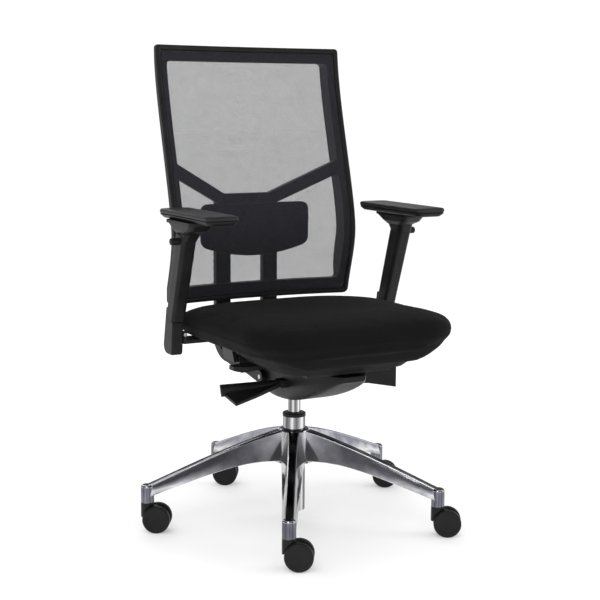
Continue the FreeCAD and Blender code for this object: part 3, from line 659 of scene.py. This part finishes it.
SIDE_X, SIDE_FIT, MIDDLE_FIT = make_profiles()


def front_y(x, z):
    """The back's front face: a parabola in plan between the side and the middle profiles."""
    share = (x / SIDE_X) ** 2
    return float(SIDE_FIT(z) * share + MIDDLE_FIT(z) * (1 - share))


def rounded_corner_pull(x, z, half, low, high, radius):
    """Moves a point of a rectangle's edge region so that the rectangle's corners become round."""
    cx = half - radius
    cz_low, cz_high = low + radius, high - radius
    dx = abs(x) - cx
    dz = (z - cz_high) if z > cz_high else ((z - cz_low) if z < cz_low else 0.0)
    if dx <= 0 or dz == 0.0:
        return x, z
    reach = max(dx, abs(dz))
    length = math.hypot(dx, dz)
    scale = reach / length
    return math.copysign(cx + dx * scale, x), (cz_high if dz > 0 else cz_low) + dz * scale


def make_back_cloth(materials):
    half = BACK_HIGH.x - MESH_MARGIN
    low = BACK_LOW.z + MESH_MARGIN
    high = BACK_HIGH.z - MESH_MARGIN
    columns, rows = 110, 134
    vertices = []
    for r in range(rows + 1):
        for c in range(columns + 1):
            x = -half + 2 * half * c / columns
            z = low + (high - low) * r / rows
            x, z = rounded_corner_pull(x, z, half, low, high, MESH_CORNER_R)
            inside_x = smoothstep(0.0, SAG_REACH, WINDOW_HIGH.x - abs(x))
            inside_z = smoothstep(0.0, SAG_REACH, min(WINDOW_HIGH.z - z, z - WINDOW_LOW.z))
            sag = MESH_SAG * inside_x * inside_z
            vertices.append((x, front_y(x, z) - MESH_PROUD + sag, z))
    faces = []
    stride = columns + 1
    for r in range(rows):
        for c in range(columns):
            a = r * stride + c
            faces.append((a, a + 1, a + stride + 1, a + stride))
    cloth = new_piece("back_mesh_cloth", vertices, faces, materials["mesh_fabric"], "back")
    apply_modifier(cloth, "SOLIDIFY", thickness=0.0006, offset=0.0)
    smooth_shade(cloth)
    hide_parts("back_mesh")


def rounded_loop(half, low, high, low_radius, high_radius, step=0.004):
    """Points round a rectangle with rounded corners, as (x, z, outward x, outward z)."""
    points = []
    corners = ((half, high, 1, 1, high_radius), (-half, high, -1, 1, high_radius),
               (-half, low, -1, -1, low_radius), (half, low, 1, -1, low_radius))
    for index, (x, z, sx, sz, radius) in enumerate(corners):
        cx, cz = x - sx * radius, z - sz * radius
        start = math.radians(90 * index)
        steps = 10
        for k in range(steps + 1):
            angle = start + math.radians(90) * k / steps
            points.append((cx + radius * math.cos(angle), cz + radius * math.sin(angle),
                           math.cos(angle), math.sin(angle)))
        nx, nz, nsx, nsz, next_radius = corners[(index + 1) % 4]
        end_angle = math.radians(90 * (index + 1))
        from_point = (cx + radius * math.cos(end_angle), cz + radius * math.sin(end_angle))
        to_point = (nx - nsx * next_radius + next_radius * math.cos(end_angle),
                    nz - nsz * next_radius + next_radius * math.sin(end_angle))
        length = math.hypot(to_point[0] - from_point[0], to_point[1] - from_point[1])
        count = max(2, int(length / step))
        for k in range(1, count):
            t = k / count
            points.append((from_point[0] + (to_point[0] - from_point[0]) * t,
                           from_point[1] + (to_point[1] - from_point[1]) * t,
                           math.cos(end_angle), math.sin(end_angle)))
    return points


def make_back_rim(materials):
    """Raised bead round the frame that the mesh is tucked behind."""
    width, height = 0.0115, 0.0032
    inset = width / 2
    loop = rounded_loop(BACK_HIGH.x - inset, BACK_LOW.z + inset, BACK_HIGH.z - inset,
                        low_radius=0.008, high_radius=0.005)
    ring = 14
    vertices = []
    for x, z, ox, oz in loop:
        y = front_y(x, z)
        for k in range(ring):
            angle = 2 * math.pi * k / ring
            across = width / 2 * math.copysign(abs(math.cos(angle)) ** 0.7, math.cos(angle))
            out = height * math.copysign(abs(math.sin(angle)) ** 0.8, math.sin(angle))
            vertices.append((x + ox * across, y - out, z + oz * across))
    faces = []
    total = len(loop)
    for i in range(total):
        for k in range(ring):
            a, b = i * ring + k, i * ring + (k + 1) % ring
            c, d = ((i + 1) % total) * ring + (k + 1) % ring, ((i + 1) % total) * ring + k
            faces.append((a, b, c, d))
    rim = new_piece("back_frame_rim", vertices, faces, materials["black_plastic"], "back")
    fix_normals(rim)


def make_lumbar_pad(materials):
    low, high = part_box("lumbar_pad")
    half = high.x
    shoulder_z = low.z + 0.025
    middle_z = (low.z + high.z) / 2
    count = 140

    def outline(inset):
        """Straight sides and top with small corners, and a bowed lower edge."""
        side, top, radius = half - inset, high.z - inset, 0.016
        bow = [(side * math.sin(t), low.z + inset + (shoulder_z - low.z) * math.sin(t) ** 2)
               for t in np.linspace(0.0, math.radians(74), 12)]
        lower = [(x, z) for x, z in bow if x < side - 0.5 * radius]
        corner = [(side - 0.15 * radius, shoulder_z + inset + 0.2 * radius),
                  (side, shoulder_z + 1.1 * radius)]
        right = lower + corner + corner_arc(side - radius, top - radius, radius, 0)
        left = [(-x, z) for x, z in reversed(right[1:])]
        return resample(right + left, count)
    depth = high.y - low.y
    rings = ((high.y, 0.010), (high.y - 0.001, 0.004), (high.y - 0.006, 0.0), (low.y + 0.010, 0.0),
             (low.y + 0.004, 0.003), (low.y + 0.001, 0.009), (low.y - 0.001, 0.020), (low.y - 0.002, 0.034))
    vertices = []
    for y, inset in rings:
        vertices += [(x, y - 0.10 * depth * (x / half) ** 2, z) for x, z in outline(inset)]
    vertices.append((0, high.y, middle_z))
    vertices.append((0, low.y - 0.003, middle_z))
    pad = new_piece("lumbar_cushion", vertices, ring_faces(len(rings), count), materials["seat_fabric"],
                    "lumbar")
    fix_normals(pad)
    apply_modifier(pad, "REMESH", mode="VOXEL", voxel_size=0.004, use_smooth_shade=True)
    apply_modifier(pad, "SMOOTH", factor=0.5, iterations=3)
    apply_modifier(pad, "SUBSURF", levels=1, render_levels=1)
    smooth_shade(pad)
    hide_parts("lumbar_pad")


# ---------------------------------------------------------------- arm pads
PAD_CORNER_R = 0.0115


def pad_outline(count, centre, half_x, half_y, radius):
    outline = rounded_outline(count, half_x, -half_y, half_y, radius, radius)
    return [(centre.x + x, centre.y + y) for x, y in outline]


def make_arm_pad(side, materials):
    low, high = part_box("arm_pad_" + side)
    centre = (low + high) / 2
    half_x, half_y = (high.x - low.x) / 2, (high.y - low.y) / 2
    rail_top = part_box("arm_turntable_" + side)[1].z
    base = rail_top + 0.0015
    top = high.z
    count = 96
    rings = ((base, 0.006), (base + 0.0004, 0.0015), (base + 0.0015, 0.0), (top - 0.0045, 0.0),
             (top - 0.0018, 0.0008), (top - 0.0005, 0.0028), (top, 0.0065), (top, 0.014),
             (top - 0.0004, 0.024))
    vertices = []
    for z, inset in rings:
        radius = max(0.003, PAD_CORNER_R - 0.5 * inset)
        outline = pad_outline(count, centre, half_x - inset, half_y - inset, radius)
        vertices += [(x, y, z) for x, y in outline]
    vertices += [(centre.x, centre.y, base), (centre.x, centre.y, top - 0.001)]
    pad = new_piece("arm_pad_soft_" + side, vertices, ring_faces(len(rings), count),
                    materials["pad_rubber"], "arm_" + side + "_pad")
    fix_normals(pad)
    apply_modifier(pad, "SUBSURF", levels=1, render_levels=1)
    smooth_shade(pad)
    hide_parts("arm_pad_" + side)
    make_pad_tray(side, centre, low.z, base, half_x, half_y, materials)


RAIL_SLOT_HALF_X = 0.0150
RAIL_SLOT_HALF_Y = 0.0885
RAIL_SLOT_CORNER_R = 0.004


def make_pad_tray(side, centre, low_z, high_z, half_x, half_y, materials):
    """Hard tray under the soft pad, open along the middle for the turntable's rail."""
    rail_low, rail_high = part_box("arm_turntable_" + side)
    rail = Vector(((rail_low.x + rail_high.x) / 2, (rail_low.y + rail_high.y) / 2, 0))
    count = 96
    loops = []
    for z, inset in ((low_z, 0.008), (low_z + 0.001, 0.0065), (high_z - 0.002, 0.001), (high_z, 0.0015)):
        outer = pad_outline(count, centre, half_x - inset, half_y - inset, PAD_CORNER_R)
        loops.append([(x, y, z) for x, y in outer])
    slot = pad_outline(count, rail, RAIL_SLOT_HALF_X, RAIL_SLOT_HALF_Y, RAIL_SLOT_CORNER_R)
    for z in (high_z, low_z):
        loops.append([(x, y, z) for x, y in slot])
    vertices = [p for loop in loops for p in loop]
    faces = ring_faces(len(loops), count, closed_ends=False)
    last = (len(loops) - 1) * count
    for i in range(count):
        j = (i + 1) % count
        faces.append((last + i, last + j, j, i))
    tray = new_piece("arm_pad_tray_" + side, vertices, faces, materials["black_plastic"],
                     "arm_" + side + "_pad")
    fix_normals(tray)


SCREW_BELOW_TOP = 0.0055
SCREW_FROM_SIDE = 0.0035


def make_bracket_screw(side, materials):
    """Countersunk hexagon-socket screw that holds the armrest to its bracket."""
    low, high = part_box("arm_bracket_" + side)
    sign = 1 if side == "left" else -1
    outer = max(abs(low.x), abs(high.x))
    centre = Vector((sign * (outer - SCREW_FROM_SIDE), low.y, high.z - SCREW_BELOW_TOP))
    rings = ((0.0, 0.0042), (-0.0012, 0.0040), (-0.0016, 0.0034), (-0.0016, 0.0021), (-0.0004, 0.0020))
    count = 24
    vertices = []
    for depth, radius in rings:
        for i in range(count):
            angle = 2 * math.pi * i / count
            vertices.append((centre.x + radius * math.cos(angle), centre.y + depth,
                             centre.z + radius * math.sin(angle)))
    vertices.append((centre.x, centre.y + 0.0005, centre.z))
    vertices.append((centre.x, centre.y - 0.0004, centre.z))
    screw = new_piece("bracket_screw_" + side, vertices, ring_faces(len(rings), count), materials["steel"],
                      "arm_" + side + "_bracket", smooth=False)
    fix_normals(screw)


# ---------------------------------------------------------------- all together
make_camera()
make_studio()
MATERIALS = make_materials()
finish_cad_nodes(MATERIALS)
make_seat(MATERIALS)
make_back_cloth(MATERIALS)
make_back_rim(MATERIALS)
make_lumbar_pad(MATERIALS)
for side_name in ("left", "right"):
    make_arm_pad(side_name, MATERIALS)
    make_bracket_screw(side_name, MATERIALS)
